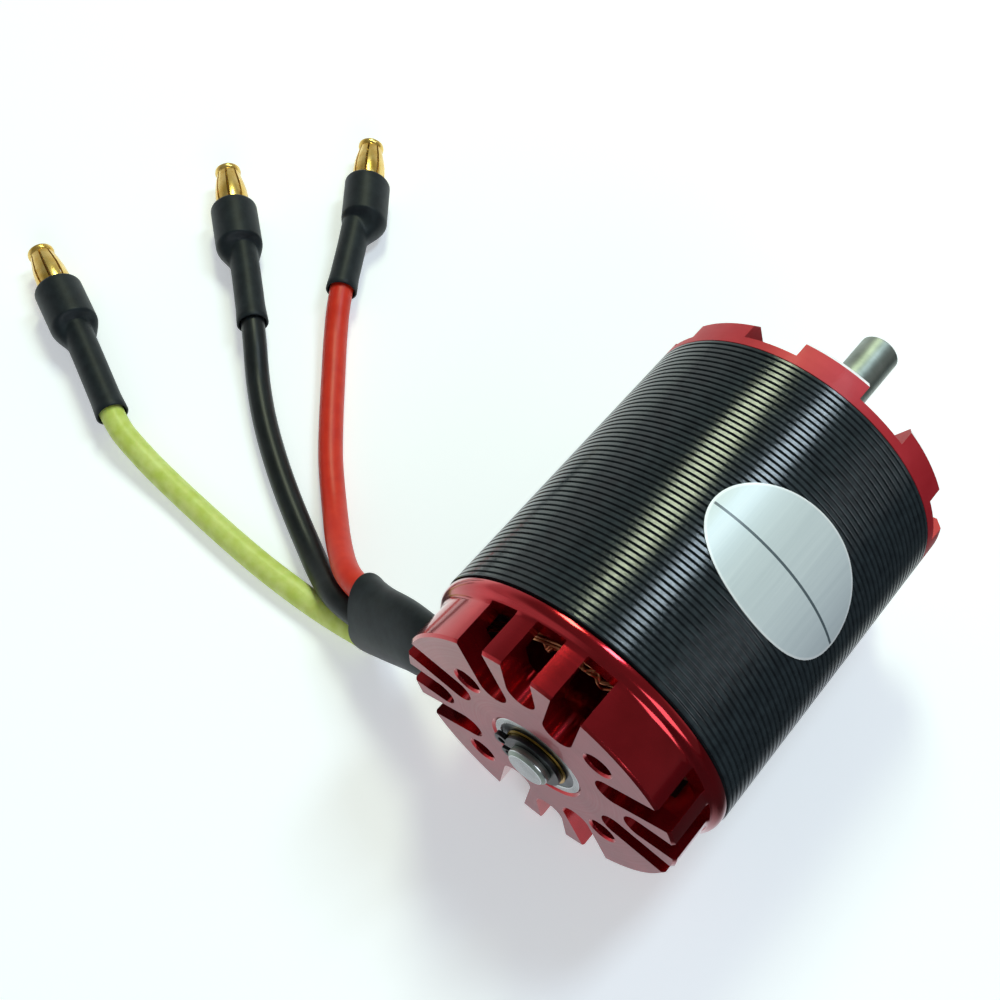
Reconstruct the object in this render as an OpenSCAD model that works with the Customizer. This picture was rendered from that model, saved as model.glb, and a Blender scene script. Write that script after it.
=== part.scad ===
// Brushless outrunner motor lying on its side, with three leads on the floor behind it.
// Frame: +X along the shaft towards the output end, +Z up, origin on the axis at the rear mounting face.
// Angles are turned about +X from straight up, so 90 degrees points to -Y.

/* [Can] */
// Outer diameter over the fins
can_d = 37; // [34:0.5:44]
// Length of the can
can_len = 37.2; // [36:0.2:46]
// Wall of the can, over the fins
can_wall = 1.9; // [1.5:0.1:2.4]
// Number of turned grooves along the can
fin_count = 52; // [20:1:60]
// Depth of a groove
fin_depth = 0.25; // [0.2:0.05:0.5]
// Width of a groove at its mouth
fin_groove_w = 0.26; // [0.2:0.02:0.5]
// Gap between the turning can and the rear cap
can_gap = 0.4; // [0.3:0.1:1]

/* [Front bell] */
// Ring of the bell that shows ahead of the can
bell_ring_len = 1.1; // [0.8:0.1:2]
// Length of the spoke ends ahead of that ring
bell_tab_len = 2.9; // [2.4:0.1:4]
// Bright chamfer on the spoke ends
bell_chamfer = 1; // [0.2:0.1:1.2]
// Number of slots between the spokes
bell_slots = 8; // [6:1:10]
// Width of a slot
bell_slot_w = 6.5; // [4:0.1:7.2]
// Radius at which the round inner end of a slot is centred
bell_slot_r = 12.5; // [12:0.1:14]
// Angle of the first spoke
bell_spoke_angle = 4.2; // [0:0.1:44]
// Length of the spigot inside the can
bell_spigot_len = 3; // [2:0.1:4]
// Wall of the spigot and of the ring under the slots
bell_rim_wall = 3.4; // [2.5:0.1:4]
// Diameter of the hub round the shaft
bell_hub_d = 10; // [8:0.1:12]
// Height of the hub ahead of the spokes
bell_hub_h = 3.2; // [2.8:0.1:5]

/* [Rear cap] */
// Length of the cap from its mounting face to its lip
cap_len = 7.2; // [6.8:0.1:9]
// Diameter of the cap's body
cap_body_d = 34.9; // [32:0.1:42]
// How far the cap's lip stands out beside the can
cap_lip_h = 0.95; // [0.8:0.05:1.5]
// Length of the lip's straight edge
cap_lip_edge = 0.4; // [0.3:0.1:0.8]
// Length over which the cap's wall flares out to its lip
cap_flare_len = 1.7; // [1.2:0.1:2]
// Thickness of the plate that holds the bearing
cap_plate = 3.5; // [3:0.1:3.8]
// Thickness of the cap's side wall
cap_wall = 1.9; // [1.5:0.1:2.5]
// Wall of the hub that holds the bearing tube
cap_hub_wall = 1.8; // [1.2:0.1:2]
// How far the hub reaches ahead of the mounting face
cap_hub_len = 11; // [9:0.1:11.4]
// Width of a cooling slot
cap_slot_w = 3.6; // [2.5:0.1:4]
// Depth of a cooling slot from the mounting face
cap_slot_depth = 5.6; // [4.5:0.1:5.8]
// Distance from the axis to the inner end of a middle slot
cap_mid_slot_r = 11.2; // [10.8:0.1:12.5]
// Distance from the axis to the inner end of a side slot
cap_side_slot_r = 8.8; // [8.6:0.1:10]
// Angle of a side slot from the middle slot beside it
cap_side_slot_angle = 16; // [15:0.5:18]
// How far a side slot stands off the axis
cap_side_slot_shift = 1.2; // [1:0.1:1.8]
// Angle of the first mounting hole
hole_angle = 35; // [30:1:40]
// Pitch of the wide pair of mounting holes
hole_pitch_wide = 25; // [24:0.5:27]
// Pitch of the narrow pair of mounting holes
hole_pitch_narrow = 22; // [21:0.5:24]
// Diameter of a mounting hole
hole_d = 3; // [2:0.1:3.5]

/* [Shaft and bearings] */
// Shaft diameter
shaft_d = 5; // [4:0.1:6]
// Free length of the shaft ahead of the spokes
shaft_free_len = 17.1; // [10:0.1:30]
// Length of shaft behind the mounting face
shaft_tail_len = 1.8; // [1.6:0.1:4]
// Bearing outside diameter
bearing_d = 11; // [10:0.1:13.2]
// Bearing width
bearing_w = 5; // [4:0.1:5.2]
// Number of balls
ball_count = 7; // [5:1:9]
// Radial thickness of each bearing race
race_wall = 0.8; // [0.7:0.05:1]
// Wall of the tube that holds the front bearing
tube_wall = 1.1; // [0.9:0.05:1.3]

/* [Stator and magnets] */
// Length of the laminated stack
stack_len = 22; // [16:0.5:24]
// Number of stator teeth
teeth = 12; // [12:3:12]
// Width of a tooth
tooth_w = 3; // [2.2:0.1:3.2]
// Radial thickness of the yoke
yoke_wall = 2.2; // [1.8:0.1:2.4]
// Radial thickness of a tooth's shoe
shoe_h = 1.1; // [0.8:0.1:1.4]
// Opening between two shoes
shoe_gap = 1.8; // [1.2:0.1:2.4]
// Thickness of the insulating plates on the stack's ends
insulator_t = 0.8; // [0.5:0.1:1.2]
// Number of magnets
magnets = 14; // [10:2:16]
// Magnet thickness
magnet_t = 1.6; // [1.2:0.1:2]
// Magnet length
magnet_len = 26; // [20:0.5:28]
// Gap between two magnets
magnet_gap = 0.6; // [0.4:0.1:2]
// Air gap between magnets and stator
air_gap = 0.45; // [0.3:0.05:0.8]

/* [Leads] */
// Lead diameter
lead_d = 3.2; // [2.4:0.1:4]
// Diameter of the shrink sleeve round the plug
plug_sleeve_d = 6.5; // [6.2:0.1:8]
// Wall of the shrink sleeve
plug_sleeve_wall = 0.4; // [0.3:0.05:0.45]
// Length of the sleeve's neck on the yellow lead
neck_yellow = 15.6; // [8:0.1:18]
// Length of the sleeve's neck on the black lead
neck_black = 13.4; // [8:0.1:18]
// Length of the sleeve's neck on the red lead
neck_red = 12.2; // [8:0.1:18]
// Length of the sleeve round the plug
plug_sleeve_len = 7.4; // [7:0.1:12]
// Diameter of the plug's pin
plug_pin_d = 4.6; // [3:0.1:5]
// Length of pin that shows ahead of its sleeve
plug_pin_len = 7.4; // [5:0.1:9]

/* [Sticker] */
// Length of the oval foil round the can
label_arc = 20.8; // [12:0.1:26]
// Width of the oval foil along the can
label_w = 14; // [8:0.1:20]
// Foil thickness
label_t = 0.12; // [0.08:0.02:0.2]
// Angle of the foil's middle
label_angle = 34.4; // [0:0.1:60]

/* [Hidden] */
$fn = 96;
// Clearance of a pressed or bonded seat
seat = 0.01;
// Least air between pieces that must not touch
air = 0.15;
// Overlap of cutters past the faces they cut
cut = 1;

can_r = can_d / 2;
can_bore_r = can_r - can_wall;
can_x0 = cap_len + can_gap;
can_x1 = can_x0 + can_len;
// Distance from the can's end to the nearest groove's middle, in pitches
fin_end_land = 0.75;
// Share of a groove's mouth that its flat floor takes
fin_floor_share = 0.4;
fin_pitch = can_len / (fin_count - 1 + 2 * fin_end_land);

bell_ring_x = can_x1 + bell_ring_len;
bell_front_x = bell_ring_x + bell_tab_len;
bell_hub_x = bell_front_x + bell_hub_h;
bell_rim_bore_r = can_r - bell_rim_wall;

shaft_r = shaft_d / 2;
shaft_x0 = -shaft_tail_len;
shaft_x1 = bell_front_x + shaft_free_len;
shaft_chamfer = 0.4;
// Relief under the hub's front edge, where the free end of the shaft begins
shaft_relief_w = 0.8;
shaft_relief_depth = 0.2;
bearing_r = bearing_d / 2;
inner_race_r = shaft_r + race_wall;
outer_race_bore_r = bearing_r - race_wall;
ball_path_r = (inner_race_r + outer_race_bore_r) / 2;
// How far a ball runs into each race
ball_seat = 0.1;
ball_d = outer_race_bore_r - inner_race_r + 2 * ball_seat;
ball_air = 0.05;
rear_bearing_x = 0.15;
spacer_t = 0.7;
bell_hub_set = 0.2;
bell_hub_x0 = can_x1 - bell_spigot_len + bell_hub_set;
front_bearing_x = bell_hub_x0 - spacer_t - bearing_w;
shield_t = 0.2;
shield_inset = 0.15;

tube_r = bearing_r + tube_wall;
// Step that an outer race stands against
bearing_step = 0.9;
bearing_step_w = 0.4;
tube_bore_r = bearing_r - bearing_step;
tube_x0 = rear_bearing_x + bearing_w + bearing_step_w;
tube_x1 = front_bearing_x + bearing_w;

magnet_r1 = can_bore_r - seat;
magnet_r0 = magnet_r1 - magnet_t;
core_r = magnet_r0 - air_gap;
core_shift = -0.2;
core_x0 = can_x0 + (can_len - stack_len) / 2 + core_shift;
core_x1 = core_x0 + stack_len;
magnet_x0 = core_x0 + (stack_len - magnet_len) / 2;
yoke_r = tube_r + yoke_wall;
tooth_pitch = 360 / teeth;
shoe_r = core_r - shoe_h;
coil_yoke_air = 0.4;
coil_shoe_air = 0.13;
coil_r0 = yoke_r + coil_yoke_air;
// Height at which a shoe's underside begins beside the slot's opening, over the tooth
shoe_edge_r = slot_corner(shoe_r, tooth_w / 2)[1] * cos(tooth_pitch / 2)
    + shoe_gap / 2 * sin(tooth_pitch / 2);
coil_r1 = shoe_edge_r - coil_shoe_air;
// Half width of a coil, filling half a slot at the shoes
coil_half_w = coil_r1 * tan(tooth_pitch / 2) - air;
coil_liner = 0.1;
insulator_slack = 0.05;

hub_r = tube_r + cap_hub_wall;
cap_r = cap_body_d / 2;
cap_bore_r = cap_r - cap_wall;
cap_lip_x = cap_len - cap_lip_edge;
cap_flare_x = cap_lip_x - cap_flare_len;
// Turn of each of the two equal arcs of the flare, and their radius
cap_flare_turn = 2 * atan(cap_lip_h / cap_flare_len);
cap_flare_r = cap_flare_len / sin(cap_flare_turn) / 2;
cap_flare_steps = 5;
edge_break = 0.3;
hole_edge = 0.25;
slot_group_angle = hole_angle + 45;
wire_angle = -108;
wire_window_w = 7.4;
wire_window_rear = 0.4;
wire_window_front = 0.7;
wire_window_x0 = cap_plate + wire_window_rear;
wire_window_x1 = cap_lip_x - wire_window_front;

clip_t = 0.6;
clip_groove_depth = 0.2;
clip_ring_w = 1.2;
clip_ear_d = 2;
clip_ear_hole_d = 0.9;
clip_ear_spread = 17;
clip_gap_w = 1;
clip_angle = -115;
shim_t = 0.2;
shim_wall = 1.3;
clip_air = 0.02;
clip_x1 = rear_bearing_x - shim_t - clip_air;
clip_x0 = clip_x1 - clip_t;

screw_d = 3;
screw_len = 2.2;
screw_socket_af = 1.5;
screw_socket_depth = 1.2;
screw_x = bell_front_x + bell_hub_h / 2;
screw_angles = [26.7, 116.7];

tail_d = 1.2;
tail_sides = 8;
tail_steps = 8;
tail_x = (wire_window_x0 + wire_window_x1) / 2;
tail_ring_r = (hub_r + cap_bore_r) / 2;
tail_pitch = 1.8;
// How far the tails reach past the cap's wall, into the common sleeve
tail_reach = 1.5;
// Share of their spread in the cap that the tails keep in the common sleeve
tail_gather = 0.6;
// How much sooner than its turn ends a tail reaches the window's plane
tail_dive = 1.3;
// How many of its diameters before its exit a tail begins to turn outwards
tail_bend = 1.6;
// Start angle of each tail, the angle at which it turns outwards, its place between hub and wall
tail_turns = [[120, -101, 1], [-190, -115, 0], [-225, -108, -1]];

floor_z = -can_r;
lead_r = lead_d / 2;
lead_sides = 8;
sleeve_sides = 20;
plug_z = floor_z + plug_sleeve_d / 2;
lead_z = floor_z + lead_r;

sleeve_x = 3.8;
// Stations of the common sleeve: middle point, half width, half height
sleeve_stations = [
    [on_circle(sleeve_x, cap_r + air, wire_angle), 1.9, 3.5],
    [[sleeve_x, 18.9, -6.1], 2.2, 4.0],
    [[4.1, 22.3, -7.9], 2.4, 4.3],
    [[4.4, 26.1, -10.5], 2.6, 4.8],
    [[4.8, 29.9, -13.0], 2.8, 5.2]
];
// The sleeve stands on edge and leans towards +X
sleeve_up = [0.33, 0, 1];
// Middle of the tails' ends inside the sleeve
tail_end_x = (tail_x + sleeve_x) / 2;

// Where the neck of each plug sleeve begins, and its heading from +X towards +Y
plug_yellow_at = [5.7, 74.6, plug_z];
plug_yellow_heading = 66.2;
plug_black_at = [27.7, 70.9, plug_z];
plug_black_heading = 51.5;
plug_red_at = [39.4, 65.5, plug_z];
plug_red_heading = 33;

// Places of the middle lead, which the others keep clear of by a share of a lead's diameter
lead_mouth = [4.3, 29.5, lead_z + 1.28 * lead_d];
lead_second = [4.3, 33.3, lead_z + 1.12 * lead_d];
lead_third = [2.9 + 0.97 * lead_d, 37.7, lead_z + 1.7];

// Routes of the leads, which leave the common sleeve one above the other, to the plugs
route_yellow = [
    lead_mouth + lead_d * [-0.25, -0.56, -0.84], [3.2, 33.2, lead_z + 0.2], [2.9, 38.3, lead_z],
    [2.8, 45.2, lead_z], [3.1, 52.5, lead_z], [3.7, 61.0, lead_z], [4.4, 68.5, lead_z + 0.7]
];
route_black = [
    lead_mouth + lead_d * [-0.16, -0.69, 0.31], lead_second, lead_third, [8.4, 42.5, lead_z + 0.4],
    [11.5, 48.5, lead_z], [14.7, 54.1, lead_z], [18.3, 59.6, lead_z], [22.3, 64.7, lead_z + 0.3]
];
route_red = [
    lead_mouth + lead_d * [0.41, -0.06, 1.06], lead_second + lead_d * [0.78, 0.09, 0.72],
    lead_third + [1.19 * lead_d, 0.4, 1.6], [14.2, 43.3, lead_z + 0.9],
    [19.2, 48.7, lead_z], [23.8, 52.9, lead_z], [28.7, 57.1, lead_z], [34.5, 61.9, lead_z + 0.5]
];

plug_sleeve_neck_air = 0.15;
plug_sleeve_neck_r = lead_r + plug_sleeve_neck_air + plug_sleeve_wall;
plug_shoulder = 1.1;
plug_cup_air = 0.05;
plug_cup_r = plug_sleeve_d / 2 - plug_sleeve_wall - plug_cup_air;
plug_cup_len = 6.2;
// How much thinner the pin is at its root and behind its head
plug_root_step = 0.3;
plug_head_step = 0.2;
plug_head_edge = 0.3;
plug_head_round = 0.4;
plug_head_len = 1;
plug_head_d = 3.7;
plug_slit_w = 0.35;
plug_slits = 8;
plug_slit_root = 0.5;
plug_slit_end = 0.3;

red_anodised = [0.70, 0.08, 0.12];
black_steel = [0.13, 0.15, 0.16];
bright_steel = [0.68, 0.70, 0.70];
copper = [0.72, 0.42, 0.22];
gold = [0.86, 0.68, 0.28];
shrink_black = [0.12, 0.13, 0.14];
brass = [0.75, 0.62, 0.30];

// Shapes that repeat

// Solid of revolution about the motor's axis, from [radius, x] points
module turned(profile) {
    rotate([0, 90, 0]) rotate_extrude() polygon(profile);
}

module tube(r0, r1, x0, x1) {
    turned([[r0, x0], [r1, x0], [r1, x1], [r0, x1]]);
}

module rod_x(r, x0, x1) {
    translate([x0, 0, 0]) rotate([0, 90, 0]) cylinder(r = r, h = x1 - x0);
}

// Turns what points up to an angle about the axis
module at_angle(angle) {
    rotate([angle, 0, 0]) children();
}

// Block along a radius: x range, width, radius range
module radial_block(x0, x1, w, r0, r1) {
    translate([x0, -w / 2, r0]) cube([x1 - x0, w, r1 - r0]);
}

// Slot along a radius with a round inner end, open outwards
module radial_slot(x0, x1, w, r_end, r_out, shift = 0) {
    translate([0, shift, 0]) {
        radial_block(x0, x1, w, r_end, r_out);
        translate([x0, 0, r_end]) rotate([0, 90, 0]) cylinder(d = w, h = x1 - x0);
    }
}

function unit(v) = v / norm(v);

function tangent(path, i) =
    unit(path[min(i + 1, len(path) - 1)] - path[max(i - 1, 0)]);

// Ring of points square to a path: half width a sideways, half height b towards up
function ring(p, t, a, b, sides, up) =
    let (side = unit(cross(t, up)), over = cross(side, t))
    [for (k = [0 : sides - 1])
        let (angle = 360 * k / sides)
        p + a * cos(angle) * side + b * sin(angle) * over];

// Triangles that join rings of points into a closed tube
function tube_faces(rings, sides) = concat(
    [for (k = [1 : sides - 2]) [0, k, k + 1]],
    [for (i = [0 : rings - 2], k = [0 : sides - 1])
        [i * sides + k, (i + 1) * sides + k, i * sides + (k + 1) % sides]],
    [for (i = [0 : rings - 2], k = [0 : sides - 1])
        [i * sides + (k + 1) % sides, (i + 1) * sides + k, (i + 1) * sides + (k + 1) % sides]],
    [for (k = [1 : sides - 2])
        [(rings - 1) * sides, (rings - 1) * sides + k + 1, (rings - 1) * sides + k]]
);

module swept_tube(path, a, b, sides, up = [0, 0, 1]) {
    points = [for (i = [0 : len(path) - 1]) each ring(path[i], tangent(path, i), a[i], b[i], sides, up)];
    polyhedron(points = points, faces = tube_faces(len(path), sides), convexity = 6);
}

// Rotor

// Can wall with its turned grooves
module can() {
    grooves = [for (i = [0 : fin_count - 1])
        let (x = can_x0 + (i + fin_end_land) * fin_pitch, floor_w = fin_floor_share * fin_groove_w)
        each [
            [can_r, x - fin_groove_w / 2],
            [can_r - fin_depth, x - floor_w / 2],
            [can_r - fin_depth, x + floor_w / 2],
            [can_r, x + fin_groove_w / 2]
        ]];
    color(black_steel)
        turned(concat(
            [[can_bore_r, can_x0], [can_r, can_x0]],
            grooves,
            [[can_r, can_x1], [can_bore_r, can_x1]]
        ));
}

// Oval foil that lies on the fins
module can_label() {
    r0 = can_r + seat;
    outline = [for (angle = [0 : 7.5 : 352.5])
        let (arc = label_arc / 2 * cos(angle))
        [label_w / 2 * sin(angle), can_r * sin(arc / can_r * 180 / PI)]];
    color([0.85, 0.89, 0.90])
        at_angle(label_angle)
        intersection() {
            tube(r0, r0 + label_t, can_x0, can_x1);
            translate([can_x0 + can_len / 2, 0, 0])
                linear_extrude(can_r + cut) polygon(outline);
        }
}

// Bell: spigot and ring on the can, spokes, hub with two cross holes
module front_bell() {
    color(red_anodised)
        difference() {
            turned([
                [shaft_r + seat, bell_hub_x0],
                [bell_hub_d / 2, bell_hub_x0],
                [bell_hub_d / 2, bell_ring_x],
                [bell_rim_bore_r, bell_ring_x],
                [bell_rim_bore_r, can_x1 - bell_spigot_len],
                [can_bore_r - seat, can_x1 - bell_spigot_len],
                [can_bore_r - seat, can_x1 + seat],
                [can_r, can_x1 + seat],
                [can_r, bell_front_x - bell_chamfer],
                [can_r - bell_chamfer, bell_front_x],
                [bell_hub_d / 2, bell_front_x],
                [bell_hub_d / 2 - edge_break, bell_hub_x],
                [shaft_r + seat, bell_hub_x]
            ]);
            for (k = [0 : bell_slots - 1])
                at_angle(bell_spoke_angle + (k + 0.5) * 360 / bell_slots)
                radial_slot(bell_ring_x, bell_front_x + cut, bell_slot_w, bell_slot_r, can_r + cut);
            for (angle = screw_angles)
                at_angle(angle)
                translate([screw_x, 0, shaft_r - cut])
                cylinder(d = screw_d + 2 * seat, h = bell_hub_d);
        }
}

module bell_set_screws() {
    color(black_steel)
        for (angle = screw_angles)
            at_angle(angle)
            translate([screw_x, 0, shaft_r + seat])
            difference() {
                cylinder(d = screw_d, h = screw_len);
                translate([0, 0, screw_len - screw_socket_depth])
                    cylinder(d = screw_socket_af / cos(30), h = screw_socket_depth + cut, $fn = 6);
            }
}

module rotor_magnets() {
    color([0.55, 0.56, 0.58])
        difference() {
            tube(magnet_r0, magnet_r1, magnet_x0, magnet_x0 + magnet_len);
            for (k = [0 : magnets - 1])
                at_angle(k * 360 / magnets)
                radial_block(magnet_x0 - cut, magnet_x0 + magnet_len + cut, magnet_gap,
                    magnet_r0 - cut, magnet_r1 + cut);
        }
}

module shaft() {
    groove_r = shaft_r - clip_groove_depth;
    color(bright_steel)
        turned([
            [0, shaft_x0],
            [shaft_r - shaft_chamfer, shaft_x0],
            [shaft_r, shaft_x0 + shaft_chamfer],
            [shaft_r, clip_x0 - seat],
            [groove_r, clip_x0 - seat],
            [groove_r, clip_x1 + seat],
            [shaft_r, clip_x1 + seat],
            [shaft_r, bell_hub_x - shaft_relief_w],
            [shaft_r - shaft_relief_depth, bell_hub_x - shaft_relief_w],
            [shaft_r - shaft_relief_depth, bell_hub_x],
            [shaft_r, bell_hub_x],
            [shaft_r, shaft_x1 - shaft_chamfer / 2],
            [shaft_r - shaft_chamfer / 2, shaft_x1],
            [0, shaft_x1]
        ]);
}

// Open spring ring with two pierced ears
module rear_circlip() {
    ring_r0 = shaft_r - clip_groove_depth + seat;
    ring_r1 = ring_r0 + clip_ring_w;
    ear_r = ring_r1 + clip_ear_d / 4;
    color([0.10, 0.10, 0.11])
        at_angle(clip_angle)
        difference() {
            union() {
                rod_x(ring_r1, clip_x0, clip_x1);
                for (side = [-1, 1])
                    at_angle(side * clip_ear_spread)
                    translate([clip_x0, 0, ear_r])
                    rotate([0, 90, 0]) cylinder(d = clip_ear_d, h = clip_t, $fn = 48);
            }
            rod_x(ring_r0, clip_x0 - cut, clip_x1 + cut);
            radial_block(clip_x0 - cut, clip_x1 + cut, clip_gap_w, 0, ear_r + clip_ear_d);
            for (side = [-1, 1])
                at_angle(side * clip_ear_spread)
                translate([clip_x0 - cut, 0, ear_r])
                rotate([0, 90, 0]) cylinder(d = clip_ear_hole_d, h = clip_t + 2 * cut, $fn = 32);
        }
}

module rear_shim() {
    color(brass) tube(shaft_r + seat, shaft_r + shim_wall, rear_bearing_x - shim_t, rear_bearing_x - seat);
}

module front_spacer() {
    x0 = front_bearing_x + bearing_w;
    color(brass) tube(shaft_r + seat, inner_race_r, x0 + seat, x0 + spacer_t - seat);
}

// Bearings

// Ring groove that the balls run in
module ball_groove(x) {
    rotate([0, 90, 0]) translate([0, 0, x + bearing_w / 2])
        rotate_extrude() translate([ball_path_r, 0]) circle(r = ball_d / 2 + ball_air, $fn = 48);
}

module inner_race(x) {
    color(bright_steel)
        difference() {
            tube(shaft_r + seat, inner_race_r, x, x + bearing_w);
            ball_groove(x);
        }
}

module outer_race(x) {
    color(bright_steel)
        difference() {
            tube(outer_race_bore_r, bearing_r, x, x + bearing_w);
            ball_groove(x);
        }
}

module each_ball(x) {
    for (k = [0 : ball_count - 1])
        at_angle(k * 360 / ball_count)
        translate([x + bearing_w / 2, 0, ball_path_r]) children();
}

module balls(x) {
    color(bright_steel) each_ball(x) sphere(d = ball_d, $fn = 48);
}

// Ribbon that keeps the balls apart
module cage(x) {
    ribbon_w = ball_d + 1;
    ribbon_t = 0.4;
    color(brass)
        difference() {
            tube(ball_path_r - ribbon_t / 2, ball_path_r + ribbon_t / 2,
                x + (bearing_w - ribbon_w) / 2, x + (bearing_w + ribbon_w) / 2);
            each_ball(x) sphere(r = ball_d / 2 + ball_air, $fn = 48);
        }
}

module shields(x) {
    color([0.16, 0.17, 0.18])
        for (x0 = [x + shield_inset, x + bearing_w - shield_inset - shield_t])
            tube(inner_race_r + air, outer_race_bore_r - seat, x0, x0 + shield_t);
}

module rear_bearing_inner_race() { inner_race(rear_bearing_x); }
module front_bearing_inner_race() { inner_race(front_bearing_x); }
module rear_bearing_outer_race() { outer_race(rear_bearing_x); }
module front_bearing_outer_race() { outer_race(front_bearing_x); }
module rear_bearing_balls() { balls(rear_bearing_x); }
module front_bearing_balls() { balls(front_bearing_x); }
module rear_bearing_cage() { cage(rear_bearing_x); }
module front_bearing_cage() { cage(front_bearing_x); }
module rear_bearing_shields() { shields(rear_bearing_x); }
module front_bearing_shields() { shields(front_bearing_x); }

// Stator

// Three cooling slots between two mounting holes
module cap_slot_group() {
    side_end = cap_side_slot_r + cap_slot_w / 2;
    radial_slot(-cut, cap_slot_depth, cap_slot_w, cap_mid_slot_r + cap_slot_w / 2, can_d);
    for (side = [-1, 1])
        at_angle(side * cap_side_slot_angle)
        radial_slot(-cut, cap_slot_depth, cap_slot_w, side_end, can_d, -side * cap_side_slot_shift);
}

module mounting_hole(r) {
    translate([0, 0, r]) {
        rod_x(hole_d / 2, -cut, cap_plate + cut);
        translate([-seat, 0, 0]) rotate([0, 90, 0])
            cylinder(d1 = hole_d + 2 * hole_edge, d2 = hole_d, h = hole_edge);
    }
}

// Cap: plate with mounting holes and slots, side wall with its lip, hub for bearing and tube
module rear_cap() {
    lip_r = cap_r + cap_lip_h;
    step = cap_flare_turn / cap_flare_steps;
    bearing_seat_r = bearing_r + seat;
    color(red_anodised)
        difference() {
            turned(concat(
                [
                    [bearing_seat_r + edge_break, 0],
                    [cap_r - edge_break, 0],
                    [cap_r, edge_break]
                ],
                [for (k = [0 : cap_flare_steps])
                    [
                        cap_r + cap_flare_r * (1 - cos(k * step)),
                        cap_flare_x + cap_flare_r * sin(k * step)
                    ]],
                [for (k = [cap_flare_steps - 1 : -1 : 0])
                    [
                        lip_r - cap_flare_r * (1 - cos(k * step)),
                        cap_lip_x - cap_flare_r * sin(k * step)
                    ]],
                [
                    [lip_r, cap_len],
                    [cap_bore_r, cap_len],
                    [cap_bore_r, cap_plate],
                    [hub_r, cap_plate],
                    [hub_r, cap_hub_len],
                    [tube_r + seat, cap_hub_len],
                    [tube_r + seat, tube_x0],
                    [tube_bore_r, tube_x0],
                    [tube_bore_r, rear_bearing_x + bearing_w + seat],
                    [bearing_seat_r, rear_bearing_x + bearing_w + seat],
                    [bearing_seat_r, edge_break]
                ]
            ));
            for (k = [0 : 3])
                at_angle(slot_group_angle + 90 * k) cap_slot_group();
            for (k = [0 : 3])
                at_angle(hole_angle + 90 * k)
                mounting_hole((k % 2 == 0 ? hole_pitch_wide : hole_pitch_narrow) / 2);
            at_angle(wire_angle)
                radial_block(wire_window_x0, wire_window_x1, wire_window_w, hub_r + cut, can_d);
        }
}

module bearing_tube() {
    color([0.60, 0.61, 0.63])
        turned([
            [tube_bore_r, tube_x0 + seat],
            [tube_r, tube_x0 + seat],
            [tube_r, tube_x1],
            [bearing_r + seat, tube_x1],
            [bearing_r + seat, front_bearing_x - seat],
            [tube_bore_r, front_bearing_x - seat]
        ]);
}

// Corner of a stator slot where a tooth's side meets a radius, seen from the slot's middle
function slot_corner(r, side) =
    let (along = sqrt(r * r - side * side), half = tooth_pitch / 2)
    [along * sin(half) - side * cos(half), along * cos(half) + side * sin(half)];

// Slot between two teeth, with its opening between their shoes
module stator_slot(x0, x1, slack) {
    root = slot_corner(yoke_r - slack, tooth_w / 2 - slack);
    top = slot_corner(shoe_r + slack, tooth_w / 2 - slack);
    translate([x0, 0, 0]) rotate([90, 0, 90])
        linear_extrude(x1 - x0) polygon([root, top, [-top[0], top[1]], [-root[0], root[1]]]);
    radial_block(x0, x1, shoe_gap + 2 * slack, coil_r1, core_r + cut);
}

// Laminated star: yoke, teeth and shoes
module star(x0, x1, slack) {
    difference() {
        rod_x(core_r - slack, x0, x1);
        rod_x(tube_r + seat, x0 - cut, x1 + cut);
        for (k = [0 : teeth - 1])
            at_angle((k + 0.5) * tooth_pitch) stator_slot(x0 - cut, x1 + cut, slack);
    }
}

module stator_core() {
    color([0.36, 0.37, 0.39]) star(core_x0, core_x1, 0);
}

module rear_insulator() {
    color([0.80, 0.78, 0.70]) star(core_x0 - insulator_t, core_x0 - seat, insulator_slack);
}

module front_insulator() {
    color([0.80, 0.78, 0.70]) star(core_x1 + seat, core_x1 + insulator_t, insulator_slack);
}

// Copper round one tooth: a loop with round ends, cut to its half of the slots
module coil() {
    hole_w = tooth_w + 2 * coil_liner;
    coil_h = coil_r1 - coil_r0;
    intersection() {
        translate([0, 0, coil_r0])
            difference() {
                union() {
                    translate([core_x0, -coil_half_w, 0]) cube([stack_len, 2 * coil_half_w, coil_h]);
                    for (x = [core_x0, core_x1])
                        translate([x, 0, 0]) cylinder(r = coil_half_w, h = coil_h);
                }
                translate([core_x0 - insulator_t - coil_liner, -hole_w / 2, -cut])
                    cube([stack_len + 2 * (insulator_t + coil_liner), hole_w, coil_h + 2 * cut]);
            }
        for_slot_half();
    }
}

// Wedge of space that belongs to one tooth, with air to its neighbours
module for_slot_half() {
    reach = core_r + cut;
    half = reach * tan(tooth_pitch / 2);
    back = air / 2 / sin(tooth_pitch / 2);
    translate([core_x0 - reach, 0, back]) rotate([90, 0, 90])
        linear_extrude(stack_len + 2 * reach) polygon([[0, 0], [half, reach], [-half, reach]]);
}

module winding(tooth_list) {
    color(copper)
        for (k = tooth_list) at_angle(k * tooth_pitch) coil();
}

module winding_u() { winding([0, 1, 6, 7]); }
module winding_v() { winding([2, 3, 8, 9]); }
module winding_w() { winding([4, 5, 10, 11]); }

function on_circle(x, r, angle) = [x, -r * sin(angle), r * cos(angle)];

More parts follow.
